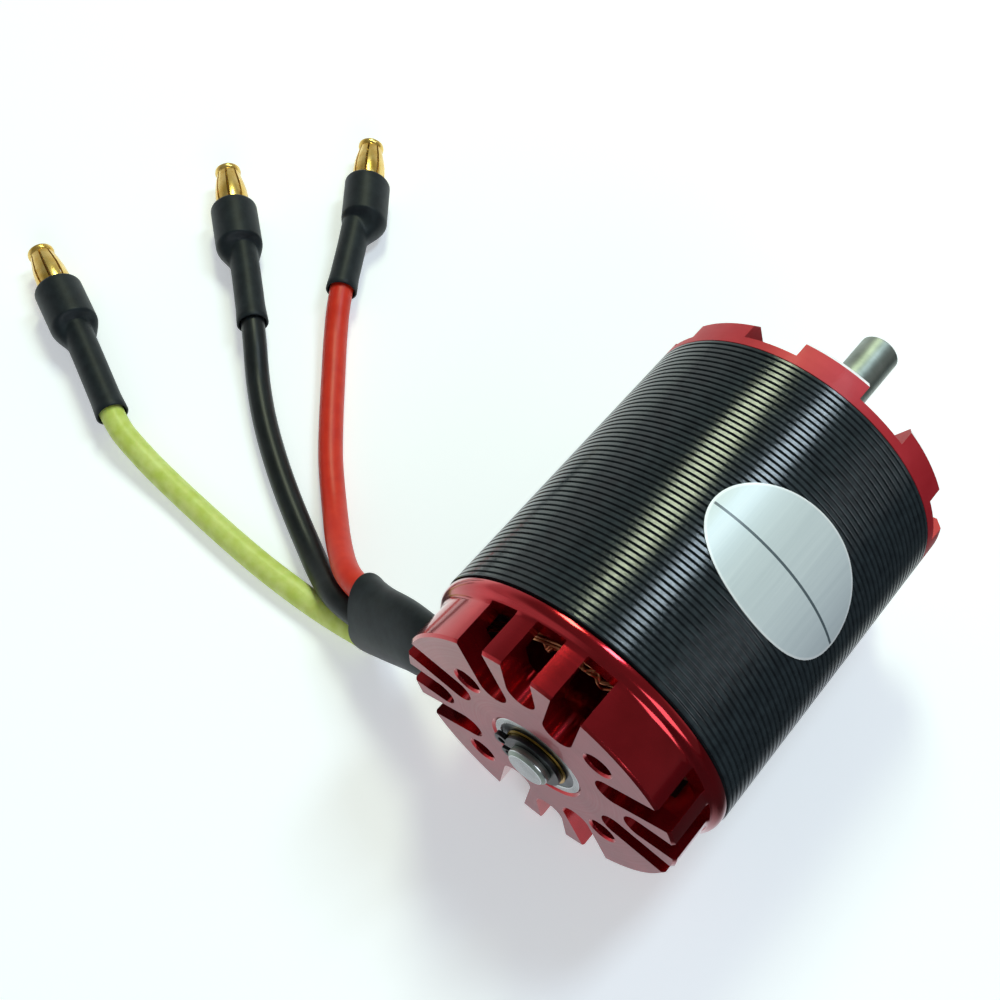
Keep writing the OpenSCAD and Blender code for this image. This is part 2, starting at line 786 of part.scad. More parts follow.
// Path of a tail: from a coil's end, round inside the cap, then straight out through the side window
function tail_path(turn, r) =
    let (
        x0 = core_x0 - coil_half_w - tail_d,
        last = turn[1] + sign(turn[0] - turn[1]) * tail_bend * tail_d / r * 180 / PI
    )
    concat(
        [for (i = [0 : tail_steps])
            let (u = i / tail_steps)
            on_circle(x0 + (tail_x - x0) * min(1, tail_dive * u), r, turn[0] + (last - turn[0]) * u)],
        [
            on_circle(tail_x, r + tail_d, turn[1]),
            on_circle(tail_end_x, cap_r + tail_reach, wire_angle + tail_gather * (turn[1] - wire_angle))
        ]
    );

module winding_tails() {
    color(copper)
        for (turn = tail_turns) {
            path = tail_path(turn, tail_ring_r + turn[2] * tail_pitch);
            radii = [for (p = path) tail_d / 2];
            swept_tube(path, radii, radii, tail_sides, [1, 0, 0]);
        }
}

// Leads

module lead_sleeve() {
    path = [for (s = sleeve_stations) s[0]];
    color(shrink_black)
        swept_tube(path, [for (s = sleeve_stations) s[1]], [for (s = sleeve_stations) s[2]],
            sleeve_sides, sleeve_up);
}

// Lead from its route's first point to the cup of its plug
module lead(route, at, heading, neck) {
    along = [cos(heading), sin(heading), 0];
    path = concat(route, [at, at + (neck + plug_shoulder) * along]);
    radii = [for (p = path) lead_r];
    swept_tube(path, radii, radii, lead_sides);
}

module lead_yellow() {
    color([0.72, 0.78, 0.30]) lead(route_yellow, plug_yellow_at, plug_yellow_heading, neck_yellow);
}

module lead_black() {
    color([0.09, 0.10, 0.11]) lead(route_black, plug_black_at, plug_black_heading, neck_black);
}

module lead_red() {
    color([0.84, 0.16, 0.11]) lead(route_red, plug_red_at, plug_red_heading, neck_red);
}

// Places what is turned about +Z along a plug's axis, from the front end of its sleeve's neck
module on_plug(at, heading, neck) {
    translate(at) rotate([0, 0, heading]) rotate([0, 90, 0]) translate([0, 0, neck]) children();
}

// Bullet plug: solder cup inside the sleeve, slit pin ahead of it
module plug() {
    pin_x0 = plug_shoulder + plug_cup_len;
    pin_x1 = plug_sleeve_len + plug_pin_len;
    head_x = pin_x1 - plug_head_len;
    slit_x0 = pin_x0 + plug_slit_root;
    pin_r = plug_pin_d / 2;
    head_r = plug_head_d / 2;
    color(gold)
        difference() {
            rotate_extrude() polygon([
                [0, plug_shoulder],
                [plug_cup_r, plug_shoulder],
                [plug_cup_r, pin_x0],
                [pin_r - plug_root_step, pin_x0],
                [pin_r, pin_x0 + plug_pin_len / 3],
                [head_r - plug_head_step, head_x],
                [head_r, head_x + plug_head_step],
                [head_r, pin_x1 - plug_head_edge],
                [head_r - plug_head_round, pin_x1],
                [0, pin_x1]
            ]);
            for (k = [0 : plug_slits - 1])
                rotate([0, 0, k * 360 / plug_slits])
                translate([pin_r / 2, -plug_slit_w / 2, slit_x0])
                cube([plug_pin_d, plug_slit_w, head_x - plug_slit_end - slit_x0]);
        }
}

// Shrink sleeve: neck on the lead, shoulder, wide part round the plug
module plug_sleeve(neck) {
    neck_r = plug_sleeve_neck_r;
    wide_r = plug_sleeve_d / 2;
    color(shrink_black)
        rotate_extrude() polygon([
            [neck_r - plug_sleeve_wall, -neck],
            [neck_r, -neck],
            [neck_r, -plug_shoulder / 2],
            [wide_r, plug_shoulder / 2],
            [wide_r, plug_sleeve_len],
            [wide_r - plug_sleeve_wall, plug_sleeve_len],
            [wide_r - plug_sleeve_wall, plug_shoulder],
            [neck_r - plug_sleeve_wall, 0]
        ]);
}

module plug_yellow() { on_plug(plug_yellow_at, plug_yellow_heading, neck_yellow) plug(); }
module plug_black() { on_plug(plug_black_at, plug_black_heading, neck_black) plug(); }
module plug_red() { on_plug(plug_red_at, plug_red_heading, neck_red) plug(); }
module plug_sleeve_yellow() {
    on_plug(plug_yellow_at, plug_yellow_heading, neck_yellow) plug_sleeve(neck_yellow);
}

module plug_sleeve_black() {
    on_plug(plug_black_at, plug_black_heading, neck_black) plug_sleeve(neck_black);
}

module plug_sleeve_red() {
    on_plug(plug_red_at, plug_red_heading, neck_red) plug_sleeve(neck_red);
}

can();
can_label();
front_bell();
bell_set_screws();
rotor_magnets();
shaft();
rear_circlip();
rear_shim();
front_spacer();
rear_bearing_inner_race();
front_bearing_inner_race();
rear_bearing_balls();
rear_bearing_cage();
front_bearing_balls();
front_bearing_cage();
rear_bearing_outer_race();
front_bearing_outer_race();
rear_bearing_shields();
front_bearing_shields();
rear_cap();
bearing_tube();
stator_core();
rear_insulator();
front_insulator();
winding_u();
winding_v();
winding_w();
winding_tails();
lead_sleeve();
lead_yellow();
lead_black();
lead_red();
plug_yellow();
plug_black();
plug_red();
plug_sleeve_yellow();
plug_sleeve_black();
plug_sleeve_red();
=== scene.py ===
import math

import bmesh
import bpy
from mathutils import Matrix, Vector


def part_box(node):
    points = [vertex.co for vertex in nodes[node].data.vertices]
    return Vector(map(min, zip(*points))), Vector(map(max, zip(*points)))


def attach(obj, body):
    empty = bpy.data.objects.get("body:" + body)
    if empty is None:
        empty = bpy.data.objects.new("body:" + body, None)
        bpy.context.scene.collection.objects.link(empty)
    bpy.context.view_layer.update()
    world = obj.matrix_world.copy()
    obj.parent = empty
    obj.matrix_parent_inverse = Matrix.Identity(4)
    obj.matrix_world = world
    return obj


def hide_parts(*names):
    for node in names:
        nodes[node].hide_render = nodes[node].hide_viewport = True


# Brushless outrunner motor lying on a pale floor, with its leads spread behind it
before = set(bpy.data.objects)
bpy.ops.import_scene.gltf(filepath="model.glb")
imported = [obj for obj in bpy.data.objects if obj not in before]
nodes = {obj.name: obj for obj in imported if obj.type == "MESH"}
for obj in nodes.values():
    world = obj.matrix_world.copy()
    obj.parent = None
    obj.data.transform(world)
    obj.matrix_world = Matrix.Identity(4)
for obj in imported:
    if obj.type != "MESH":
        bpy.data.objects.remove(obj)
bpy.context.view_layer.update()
mm = 0.001
print("frame: %d CAD nodes" % len(nodes))

# Sizes that several pieces share, read from the frame
canLow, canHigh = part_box("can")
coreLow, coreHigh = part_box("stator_core")
canRadius = -canLow.z
floorZ = canLow.z


def onCircle(x, radius, degrees):  # angle about the axis, from straight up towards -Y
    turn = math.radians(degrees)
    return Vector((x, -radius * math.sin(turn), radius * math.cos(turn)))


def hexColour(code):  # sRGB to linear
    parts = [int(code[i:i + 2], 16) / 255 for i in (1, 3, 5)]
    return [p / 12.92 if p <= 0.04045 else ((p + 0.055) / 1.055) ** 2.4 for p in parts] + [1]


def smoothStep(t):
    t = min(1, max(0, t))
    return t * t * (3 - 2 * t)


# Camera, solved from the cap's circle and the can's edges in the photograph
photoCamera = {"atMm": (-40.96, -29.04, 139.26), "headingDeg": 39.5, "downDeg": 60.0, "lensMm": 51.37,
               "sensorMm": 36, "nearM": 0.005}

cameraData = bpy.data.cameras.new("photoCamera")
cameraData.lens = photoCamera["lensMm"]
cameraData.sensor_width = photoCamera["sensorMm"]
cameraData.clip_start = photoCamera["nearM"]
camera = bpy.data.objects.new("photoCamera", cameraData)
heading, down = math.radians(photoCamera["headingDeg"]), math.radians(photoCamera["downDeg"])
lookAlong = Vector((math.cos(down) * math.cos(heading), math.cos(down) * math.sin(heading), -math.sin(down)))
camera.location = Vector(photoCamera["atMm"]) * mm
camera.rotation_mode = "QUATERNION"
camera.rotation_quaternion = lookAlong.to_track_quat("-Z", "Y")
bpy.context.scene.collection.objects.link(camera)
bpy.context.scene.camera = camera
print("camera set")


# Adds a node: settings go to its properties or sockets, links to its inputs
def addNode(tree, kind, settings=None, links=None):
    node = tree.nodes.new(kind)
    for name, value in (settings or {}).items():
        if isinstance(name, str) and hasattr(node, name):
            setattr(node, name, value)
        else:
            node.inputs[name].default_value = value
    for name, source in (links or {}).items():
        tree.links.new(source, node.inputs[name])
    return node


def startMaterial(name, sockets):
    material = bpy.data.materials.new(name)
    material.use_nodes = True
    tree = material.node_tree
    shader = tree.nodes["Principled BSDF"]
    for socket, value in sockets.items():
        shader.inputs[socket].default_value = value
    place = addNode(tree, "ShaderNodeTexCoord").outputs["Object"]
    return material, tree, shader, place


# Noise whose grains measure about grainMm
def addNoise(tree, place, grainMm, detail=3.0):
    noise = addNode(tree, "ShaderNodeTexNoise", {"Scale": 1 / (grainMm * mm), "Detail": detail},
                    {"Vector": place})
    return noise.outputs["Fac"]


def mixColours(tree, factor, first, second):
    mix = addNode(tree, "ShaderNodeMix", {
        "data_type": "RGBA", "A": hexColour(first), "B": hexColour(second)}, {"Factor": factor})
    return mix.outputs["Result"]


def setBump(tree, shader, height, depthMm):
    bump = addNode(tree, "ShaderNodeBump", {"Strength": 1.0, "Distance": depthMm * mm}, {"Height": height})
    tree.links.new(bump.outputs["Normal"], shader.inputs["Normal"])


# Roughness that follows a texture; span is the part of the texture's range that counts
def setRough(tree, shader, texture, rough, span=(0, 1)):
    spread = addNode(tree, "ShaderNodeMapRange", {
        "From Min": span[0], "From Max": span[1], "To Min": rough[0], "To Max": rough[1]}, {"Value": texture})
    tree.links.new(spread.outputs["Result"], shader.inputs["Roughness"])


cloudSpan = (0.35, 0.65)  # the middle of a noise's range, where most of it lies


# Cloudy change between two colours, for dye, dust or skin; grainMm is the size of a cloud
def mottleColour(tree, shader, place, first, second, grainMm):
    spread = addNode(tree, "ShaderNodeMapRange", {"From Min": cloudSpan[0], "From Max": cloudSpan[1]},
                     {"Value": addNoise(tree, place, grainMm)})
    tint = mixColours(tree, spread.outputs["Result"], first, second)
    tree.links.new(tint, shader.inputs["Base Color"])


def grainBump(tree, shader, place, grainMm, depthMm):
    setBump(tree, shader, addNoise(tree, place, grainMm, detail=2.0), depthMm)


# Rings left by a lathe tool round the motor's axis: across a face by radius, along a barrel by length
def latheMarks(tree, shader, place, ringMm, depthMm, rough):
    axes = addNode(tree, "ShaderNodeSeparateXYZ", links={"Vector": place})
    across = addNode(tree, "ShaderNodeCombineXYZ", links={"Y": axes.outputs["Y"], "Z": axes.outputs["Z"]})
    radius = addNode(tree, "ShaderNodeVectorMath", {"operation": "LENGTH"}, {0: across.outputs["Vector"]})
    walk = addNode(tree, "ShaderNodeMath", {"operation": "ADD"},
                   {0: axes.outputs["X"], 1: radius.outputs["Value"]})
    rings = addNode(tree, "ShaderNodeTexNoise", {
        "noise_dimensions": "1D", "Scale": 1 / (ringMm * mm), "Detail": 3.0}, {"W": walk.outputs["Value"]})
    setBump(tree, shader, rings.outputs["Fac"], depthMm)
    setRough(tree, shader, rings.outputs["Fac"], rough)


# Anodised aluminium, turned, dyed red and sealed: a red metal under a clear hard film
def redAnodised(name, deep, bright, metallic, rough, filmIor, film=0.5):
    material, tree, shader, place = startMaterial(name, {
        "Metallic": metallic, "Coat Weight": film, "Coat IOR": filmIor, "Coat Roughness": 0.08})
    mottleColour(tree, shader, place, deep, bright, grainMm=4.0)
    latheMarks(tree, shader, place, ringMm=0.3, depthMm=0.0001, rough=rough)
    return material


# Black paint baked on turned steel: dark, smooth, with fine grit that breaks its gloss
def bakedBlack():
    material, tree, shader, place = startMaterial("bakedBlackPaint", {"IOR": 1.45})
    mottleColour(tree, shader, place, "#252C30", "#30393D", grainMm=1.2)
    grainBump(tree, shader, place, grainMm=0.14, depthMm=0.004)
    setRough(tree, shader, addNoise(tree, place, grainMm=0.35), rough=(0.10, 0.24), span=(0.3, 0.7))
    return material


# Aluminium foil with a brushed face under lacquer: pale, with streaks along the motor, a fine dark line and a
# paler rim, both placed in shares of the disc's width
foilFace = {"streakScale": (40, 1400, 1400), "rim": (0.482, 0.490), "lineAt": -0.02, "lineHalf": 0.011,
            "dull": "#CDDADD", "bright": "#E8F2F3", "line": "#5C6A70", "pale": "#F6FBFB"}


def brushedFoil():
    f = foilFace
    material, tree, shader, place = startMaterial("brushedFoil", {
        "Metallic": 0.12, "IOR": 1.5, "Coat Weight": 0.25, "Coat Roughness": 0.2})
    stretch = addNode(tree, "ShaderNodeMapping", {"Scale": f["streakScale"]}, {"Vector": place})
    streak = addNode(tree, "ShaderNodeTexNoise", {"Scale": 1.0, "Detail": 4.0, "Roughness": 0.7},
                     {"Vector": stretch.outputs["Vector"]}).outputs["Fac"]
    disc = addNode(tree, "ShaderNodeUVMap", {"uv_map": "foilDisc"})
    middle = addNode(tree, "ShaderNodeVectorMath", {"operation": "SUBTRACT", 1: (0.5, 0.5, 0)},
                     {0: disc.outputs["UV"]}).outputs["Vector"]
    radius = addNode(tree, "ShaderNodeVectorMath", {"operation": "LENGTH"}, {0: middle})
    rim = addNode(tree, "ShaderNodeMapRange", {"From Min": f["rim"][0], "From Max": f["rim"][1]},
                  {"Value": radius.outputs["Value"]}).outputs["Result"]
    along = addNode(tree, "ShaderNodeSeparateXYZ", links={"Vector": middle})
    line = addNode(tree, "ShaderNodeMath", {"operation": "COMPARE", 1: f["lineAt"], 2: f["lineHalf"]},
                   {0: along.outputs["X"]}).outputs["Value"]
    tint = mixColours(tree, streak, f["dull"], f["bright"])
    for cover, colour in ((line, f["line"]), (rim, f["pale"])):
        tint = addNode(tree, "ShaderNodeMix", {"data_type": "RGBA", "B": hexColour(colour)},
                       {"Factor": cover, "A": tint}).outputs["Result"]
    tree.links.new(tint, shader.inputs["Base Color"])
    setRough(tree, shader, streak, rough=(0.36, 0.55))
    setBump(tree, shader, streak, depthMm=0.005)
    return material


# Ground or turned bare metal: bright, with fine rings
def turnedMetal(name, first, second, ringMm, rough, depthMm=0.0015):
    material, tree, shader, place = startMaterial(name, {"Metallic": 1.0})
    mottleColour(tree, shader, place, first, second, grainMm=2.5)
    latheMarks(tree, shader, place, ringMm, depthMm, rough)
    return material


# Rolled, stamped or plated metal without rings
def plainMetal(name, first, second, rough, grainMm=0.15, depthMm=0.003, metallic=1.0):
    material, tree, shader, place = startMaterial(name, {"Metallic": metallic, "Roughness": rough})
    mottleColour(tree, shader, place, first, second, grainMm=1.5)
    grainBump(tree, shader, place, grainMm, depthMm)
    return material


# Silicone lead sheath, extruded: soft and a little translucent, satin, with cloudy colour and dust specks
def siliconeSheath(name, first, second, rough, gloss=0.5):
    material, tree, shader, place = startMaterial(name, {
        "Roughness": rough, "IOR": 1.42, "Specular IOR Level": gloss, "Subsurface Weight": 0.25,
        "Subsurface Scale": 0.7 * mm, "Subsurface Radius": (1.0, 0.6, 0.35)})
    mottleColour(tree, shader, place, first, second, grainMm=1.8)
    grainBump(tree, shader, place, grainMm=0.18, depthMm=0.006)
    return material


# Polyolefin shrink tube: dark grey-black, satin, drawn tight with a fine skin
def shrinkTube():
    material, tree, shader, place = startMaterial("shrinkTube", {
        "Roughness": 0.48, "IOR": 1.45, "Specular IOR Level": 0.28})
    mottleColour(tree, shader, place, "#151C20", "#1E262A", grainMm=1.4)
    grainBump(tree, shader, place, grainMm=0.35, depthMm=0.010)
    return material


# Stacked electrical steel: thin sheets with varnish between them, drawn 0.5 mm thick so that they show
def stackedSteel():
    sheetMm, wavesPerUnit = 0.5, 20 / (2 * math.pi)  # the wave texture's own waves per unit of scale
    material, tree, shader, place = startMaterial("stackedSteel", {"Metallic": 0.8, "Roughness": 0.45})
    sheets = addNode(tree, "ShaderNodeTexWave", {
        "bands_direction": "X", "Scale": 1 / wavesPerUnit / (sheetMm * mm)}, {"Vector": place}).outputs["Fac"]
    tree.links.new(mixColours(tree, sheets, "#3B3E42", "#70757A"), shader.inputs["Base Color"])
    setBump(tree, shader, sheets, depthMm=0.05)
    return material


# Fish paper end plates: matt, pale and fibrous
def fishPaper():
    material, tree, shader, place = startMaterial("fishPaper", {"Roughness": 0.75})
    mottleColour(tree, shader, place, "#BDB393", "#D3CBB0", grainMm=0.5)
    grainBump(tree, shader, place, grainMm=0.2, depthMm=0.02)
    return material


red = redAnodised("redAnodised", "#A8131E", "#BA1B27", metallic=0.85, rough=(0.13, 0.19), filmIor=1.5)
redBell = redAnodised("redAnodisedBell", "#B81E2A", "#C42A35", metallic=0.2, rough=(0.46, 0.56),
                      filmIor=1.4, film=0.04)
# The cap's flat end faces get their own darker, duller copy of the red, set to the floor's reflection they
# show: a painted reflection
redFacePaintedReflection = redAnodised("redAnodisedFacePaintedReflection", "#8A2130", "#982A39", metallic=0.25, rough=(0.42, 0.54),
                      filmIor=1.75)
# The cap's eased edges get a lighter red than its walls: a painted highlight along the edges
redEdgePaintedHighlight = redAnodised("redAnodisedEdgePaintedHighlight", "#CC3A44", "#D8525A", metallic=0.85, rough=(0.22, 0.32), filmIor=1.5)
blackPaint = bakedBlack()
foil = brushedFoil()
cutAluminium = turnedMetal("cutAluminium", "#E2E0E2", "#EFEDEE", ringMm=0.2, rough=(0.24, 0.34),
                           depthMm=0.0004)
shaftSteel = turnedMetal("groundSteel", "#868E87", "#9CA49D", ringMm=0.25, rough=(0.40, 0.54), depthMm=0.0006)
# Flat end faces in a tone of their own: darker than the race's steel, a painted shade on the outer race's
# end, and lighter than the shaft's steel, a painted highlight on the shaft's end
paintedEndShadeAndLight = turnedMetal("groundEndPaintedShadeAndLight", "#9BA1A1", "#B0B5B5", ringMm=0.15, rough=(0.22, 0.32))
raceSteel = turnedMetal("bearingSteel", "#B9BCBE", "#C9CCCE", ringMm=0.15, rough=(0.14, 0.24))
tubeMetal = turnedMetal("tubeAluminium", "#9A9DA0", "#B0B3B6", ringMm=0.2, rough=(0.28, 0.4))
shimBrass = turnedMetal("shimBrass", "#B08D3E", "#C8A452", ringMm=0.2, rough=(0.22, 0.34))
shieldSteel = turnedMetal("shieldSteel", "#54595C", "#6A6F72", ringMm=0.3, rough=(0.3, 0.42))
cageBrass = plainMetal("cageBrass", "#A98A45", "#BFA05A", rough=0.3)
ballSteel = plainMetal("ballSteel", "#C4C7C9", "#CDD0D2", rough=0.08, grainMm=0.5, depthMm=0.0005)
clipSteel = plainMetal("blackSpringSteel", "#17191B", "#24272A", rough=0.32, metallic=0.7)
screwSteel = plainMetal("blackOxideScrew", "#141618", "#222528", rough=0.4, metallic=0.7)
magnetNickel = plainMetal("magnetNickel", "#6F7274", "#85888A", rough=0.3)
copperEnamel = plainMetal("enamelledCopper", "#B47650", "#D69E74", rough=0.3, grainMm=0.6, depthMm=0.004)
goldPlate = plainMetal("goldPlate", "#E2B856", "#F2D280", rough=0.26, grainMm=0.4, metallic=0.8)
laminations = stackedSteel()
endPaper = fishPaper()
shrink = shrinkTube()
sheaths = {
    "yellow": siliconeSheath("yellowSilicone", "#CADC62", "#DCEA86", rough=0.42),
    "black": siliconeSheath("blackSilicone", "#151A1B", "#1D2224", rough=0.38, gloss=0.35),
    "red": siliconeSheath("redSilicone", "#D62A14", "#DE341A", rough=0.42),
}
print("materials ready")


# Puts a piece on the body it rides on, in place of the CAD nodes it stands for
def placePiece(name, data, body, standsFor):
    piece = bpy.data.objects.new(name, data)
    bpy.context.scene.collection.objects.link(piece)
    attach(piece, body)
    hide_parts(*standsFor)
    return piece


# Gives a bmesh a piece of its own
def makePiece(name, bm, materials, body, standsFor, smoothDeg=35, evenFaces=False):
    mesh = bpy.data.meshes.new(name)
    bm.to_mesh(mesh)
    bm.free()
    for material in materials:
        mesh.materials.append(material)
    mesh.shade_smooth()
    mesh.set_sharp_from_angle(angle=math.radians(smoothDeg))
    piece = placePiece(name, mesh, body, standsFor)
    if evenFaces:  # flat faces stay flat beside their eased edges
        piece.modifiers.new("evenFaces", "WEIGHTED_NORMAL").keep_sharp = True
    return piece


curveSteps = 6  # between two points of a smooth wire


# Draws round wires along routes, as one piece
def makeWires(name, routes, radius, material, body, standsFor, sides, smooth=False):
    data = bpy.data.curves.new(name, "CURVE")
    data.dimensions = "3D"
    data.bevel_depth = radius
    data.bevel_resolution = sides
    data.resolution_u = curveSteps
    data.use_fill_caps = True
    for route in routes:
        spline = data.splines.new("BEZIER" if smooth else "POLY")
        points = spline.bezier_points if smooth else spline.points
        points.add(len(route) - 1)
        for point, at in zip(points, route):
            point.co = at if smooth else (*at, 1)
            if smooth:
                point.handle_left_type = point.handle_right_type = "AUTO"
    data.materials.append(material)
    return placePiece(name, data, body, standsFor)


# Smooth points through given ones
def smoothRoute(points, perSpan):
    p = [Vector(q) for q in points]
    p = [2 * p[0] - p[1]] + p + [2 * p[-1] - p[-2]]
    route = []
    for a, b, c, d in zip(p, p[1:], p[2:], p[3:]):
        for i in range(perSpan):
            t = i / perSpan
            route.append(0.5 * (2 * b + (c - a) * t + (2 * a - 5 * b + 4 * c - d) * t ** 2
                                + (3 * b - a - 3 * c + d) * t ** 3))
    return route + [p[-2]]


# Line of points, open or closed, ready to spin
def drawProfile(bm, points, closed=False):
    verts = [bm.verts.new(p) for p in points]
    for a, b in zip(verts, verts[1:] + verts[:1] if closed else verts[1:]):
        bm.edges.new((a, b))


fullTurn = 2 * math.pi
sameM = 1e-7  # points as near as this are one point


# Spins everything in a bmesh round +X
def spinRound(bm, steps, angle=fullTurn):
    bmesh.ops.spin(bm, geom=bm.verts[:] + bm.edges[:], cent=(0, 0, 0), axis=(1, 0, 0), angle=angle,
                   steps=steps, use_merge=angle == fullTurn)
    bmesh.ops.remove_doubles(bm, verts=bm.verts, dist=sameM)
    bmesh.ops.recalc_face_normals(bm, faces=bm.faces)


# Leads: the routes run from the common sleeve to the plugs, in millimetres; the necks lie off the plugs'
# middle, and the hoods over the plugs are tilted about the lead and lean off the neck
leadSet = {"diameterMm": 3.2, "plugDiameterMm": 6.5, "shoulderMm": 1.1, "pointsPerSpan": 3, "sides": 8}
leadZ = floorZ / mm + leadSet["diameterMm"] / 2
plugZ = floorZ / mm + leadSet["plugDiameterMm"] / 2
leads = {
    "yellow": {"neckAt": (5.7, 74.6, plugZ), "headingDeg": 66.2, "neckMm": 15.6, "neckAsideMm": -0.25,
               "hoodTiltDeg": 30, "hoodLeanDeg": 1, "route": [
                   (3.5, 27.7, -15.5), (3.2, 33.2, -16.7), (2.9, 38.3, leadZ), (2.8, 45.2, leadZ),
                   (3.1, 52.5, leadZ), (3.7, 61.0, leadZ), (4.4, 68.5, -16.2)]},
    "black": {"neckAt": (27.7, 70.9, plugZ), "headingDeg": 51.5, "neckMm": 13.4, "neckAsideMm": -0.35,
              "hoodTiltDeg": 25, "hoodLeanDeg": 0, "route": [
                  (3.8, 27.3, -11.8), (4.3, 33.3, -13.3), (6.0, 37.7, -15.2), (8.4, 42.5, -16.5),
                  (11.5, 48.5, leadZ), (14.7, 54.1, leadZ), (18.3, 59.6, leadZ), (22.3, 64.7, -16.6)]},
    "red": {"neckAt": (39.4, 65.5, plugZ), "headingDeg": 33, "neckMm": 12.2, "neckAsideMm": -0.3,
            "hoodTiltDeg": -35, "hoodLeanDeg": 5, "route": [
                (5.6, 29.3, -9.4), (6.8, 33.6, -11.0), (9.8, 38.1, -13.6), (14.2, 43.3, -16.0),
                (19.2, 48.7, leadZ), (23.8, 52.9, leadZ), (28.7, 57.1, leadZ), (34.5, 61.9, -16.4)]},
}
for colour, lead in leads.items():
    turn = math.radians(lead["headingDeg"])
    onward = Vector((math.cos(turn), math.sin(turn), 0))
    aside = Vector((-math.sin(turn), math.cos(turn), 0))
    neckAt = Vector(lead["neckAt"])
    shoulderAt = neckAt + lead["neckMm"] * onward
    lead["toPlug"] = Matrix.Translation(shoulderAt * mm) @ Matrix.Rotation(turn, 4, "Z")
    ends = [neckAt + lead["neckAsideMm"] / 2 * aside,
            shoulderAt + leadSet["shoulderMm"] * onward + lead["neckAsideMm"] * aside]
    route = smoothRoute([Vector(p) * mm for p in [*lead["route"], *ends]], leadSet["pointsPerSpan"])
    lead["piece"] = makeWires(
        "lead_%s_sheath" % colour, [route], leadSet["diameterMm"] / 2 * mm, sheaths[colour], "stator",
        ["lead_" + colour], leadSet["sides"], smooth=True)
    lead["exit"] = tuple(route[0])
    lead["lengthM"] = round(sum((b - a).length for a, b in zip(route, route[1:])), 3)
print("leads laid: " + ", ".join("%s %.1f mm" % (c, lead["lengthM"] / mm) for c, lead in leads.items()))

# Shrink sleeve on each plug: narrow on the lead, a hood over the plug's cup that is steep on top only; places
# count from the hood's shoulder, and the lips give steps from the sleeve's ends and the changes in radius
plugSleeve = {
    "neckMm": 2.02, "mouthMm": 2.15, "mouthLenMm": 3.0, "boreMm": 1.80, "skinMm": 0.13,
    "innerLipMm": [(3, 0), (0.1, 0.05), (0, 0.12)], "outerLipMm": [(0, -0.08), (0.1, 0)],
    "coarseMm": 0.9, "fineMm": 0.2, "fineFromMm": -5.2, "fineSteps": 34, "steps": 56,
    "wideMm": 3.25, "wideAtMm": (2.2, 4.0, 6.0), "wideBoreMm": 2.8, "endMm": 7.4, "endRoundMm": 0.55,
    "endStepDeg": 18, "endSteps": 6, "endLipMm": [(-0.5, -0.2), (-2.5, 0)],
    "hoodSteepMm": 0.7, "hoodSlopeMm": 4.2, "hoodFullMm": 1.9, "hoodLagMm": 0.5, "steepGain": 1.6,
    "steepFrom": 0.5, "asideToMm": 3, "leanFromMm": 14.8}


# How far a plug leans off its lead's neck, s millimetres ahead of the shoulder; the bullet's tip stays
def leanAside(lead, s):
    return (s - plugSleeve["leanFromMm"]) * math.tan(math.radians(lead["hoodLeanDeg"])) * mm


def plugSleeveProfile(start):
    p = plugSleeve
    coarse = [start + p["coarseMm"] * i for i in range(1, math.ceil(-start / p["coarseMm"]))]
    stations = [s for s in coarse if s < p["fineFromMm"] - p["fineMm"]]
    stations += [p["fineFromMm"] + p["fineMm"] * i for i in range(p["fineSteps"])]
    profile = [(start + s, p["boreMm"] + wider) for s, wider in p["innerLipMm"]]
    profile += [(start + s, p["mouthMm"] + wider) for s, wider in p["outerLipMm"]]
    for s in stations:
        flare = smoothStep(1 - (s - start) / p["mouthLenMm"])
        profile.append((s, p["neckMm"] + (p["mouthMm"] - p["neckMm"]) * flare))
    profile += [(s, p["wideMm"]) for s in p["wideAtMm"]]
    for i in range(p["endSteps"] + 1):
        a = math.radians(90 - p["endStepDeg"] * i)
        profile.append((p["endMm"] - p["endRoundMm"] * (1 - math.cos(a)),
                        p["wideMm"] - p["endRoundMm"] * (1 - math.sin(a))))
    return profile + [(p["endMm"] + s, p["wideBoreMm"] + wider) for s, wider in p["endLipMm"]]


def makePlugSleeve(colour, lead):
    p, start = plugSleeve, -lead["neckMm"]
    bm = bmesh.new()
    drawProfile(bm, [(s * mm, 0, r * mm) for s, r in plugSleeveProfile(start)])
    spinRound(bm, p["steps"])
    tilt = math.radians(lead["hoodTiltDeg"])
    for v in bm.verts:
        s, r = v.co.x / mm, math.hypot(v.co.y, v.co.z) / mm
        lean = leanAside(lead, s)
        if s > p["hoodFullMm"]:
            v.co.y += lean
            continue
        top = 0.5 + 0.5 * math.cos(math.atan2(-v.co.y, v.co.z) - tilt)  # 1 on top of the hood, 0 under it
        steep = smoothStep(top * p["steepGain"] - p["steepFrom"])
        length = p["hoodSlopeMm"] + (p["hoodSteepMm"] - p["hoodSlopeMm"]) * steep
        grow = smoothStep((s + length - p["hoodLagMm"]) / length)
        wider = 1 + (p["wideMm"] / r - 1) * grow if r > p["boreMm"] + p["skinMm"] else 1
        drift = 0.5 + 0.5 * smoothStep((s - start) / (-start - p["asideToMm"]))
        aside = lead["neckAsideMm"] * mm * drift * (1 - grow)
        v.co.y, v.co.z = v.co.y * wider + aside + lean * grow, v.co.z * wider
    bmesh.ops.transform(bm, matrix=lead["toPlug"], verts=bm.verts)
    return makePiece("plug_sleeve_%s_shrink" % colour, bm, [shrink], "stator",
                     ["plug_sleeve_" + colour], smoothDeg=50)


